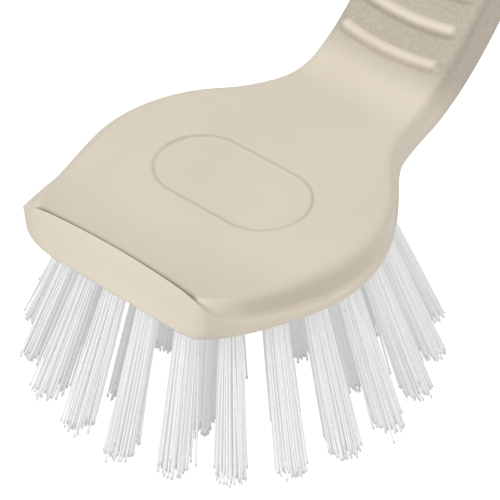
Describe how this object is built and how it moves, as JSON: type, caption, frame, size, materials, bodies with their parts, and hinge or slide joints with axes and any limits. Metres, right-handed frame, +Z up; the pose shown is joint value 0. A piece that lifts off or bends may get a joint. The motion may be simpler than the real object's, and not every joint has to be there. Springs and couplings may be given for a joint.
{
  "type": "dish brush",
  "caption": "One-hand dish brush: round head with a scraper edge, splayed tufts of bristle and a raised, ribbed handle with a hanging hole.",
  "frame": {"origin": "middle of the bounding box in X and Y, at the height of the bristle tips", "axes": "+X from the head towards the handle's end, +Y to the left, +Z up, with the head's deck level"},
  "size_m": [0.2724, 0.081, 0.0939],
  "materials": {
    "body": "moulded polypropylene, cream, with a soft satin surface",
    "bristle": "translucent white nylon filament",
    "anchor": "flat drawn wire"
  },
  "bodies": {
    "root": {"brush_body": "body", "tuft_01": "bristle", "tuft_02": "bristle", "tuft_03": "bristle", "tuft_04": "bristle", "tuft_05": "bristle", "tuft_06": "bristle", "tuft_07": "bristle", "tuft_08": "bristle", "tuft_09": "bristle", "tuft_10": "bristle", "tuft_11": "bristle", "tuft_12": "bristle", "tuft_13": "bristle", "tuft_14": "bristle", "tuft_15": "bristle", "tuft_16": "bristle", "tuft_17": "bristle", "tuft_18": "bristle", "tuft_19": "bristle", "tuft_20": "bristle", "tuft_21": "bristle", "tuft_22": "bristle", "tuft_23": "bristle", "tuft_24": "bristle", "tuft_25": "bristle", "tuft_26": "bristle", "tuft_27": "bristle", "tuft_28": "bristle", "tuft_29": "bristle", "tuft_30": "bristle", "tuft_31": "bristle", "tuft_32": "bristle", "tuft_33": "bristle", "tuft_34": "bristle", "tuft_35": "bristle", "tuft_36": "bristle", "tuft_37": "bristle", "anchor_01": "anchor", "anchor_02": "anchor", "anchor_03": "anchor", "anchor_04": "anchor", "anchor_05": "anchor", "anchor_06": "anchor", "anchor_07": "anchor", "anchor_08": "anchor", "anchor_09": "anchor", "anchor_10": "anchor", "anchor_11": "anchor", "anchor_12": "anchor", "anchor_13": "anchor", "anchor_14": "anchor", "anchor_15": "anchor", "anchor_16": "anchor", "anchor_17": "anchor", "anchor_18": "anchor", "anchor_19": "anchor", "anchor_20": "anchor", "anchor_21": "anchor", "anchor_22": "anchor"}
  },
  "joints": []
}
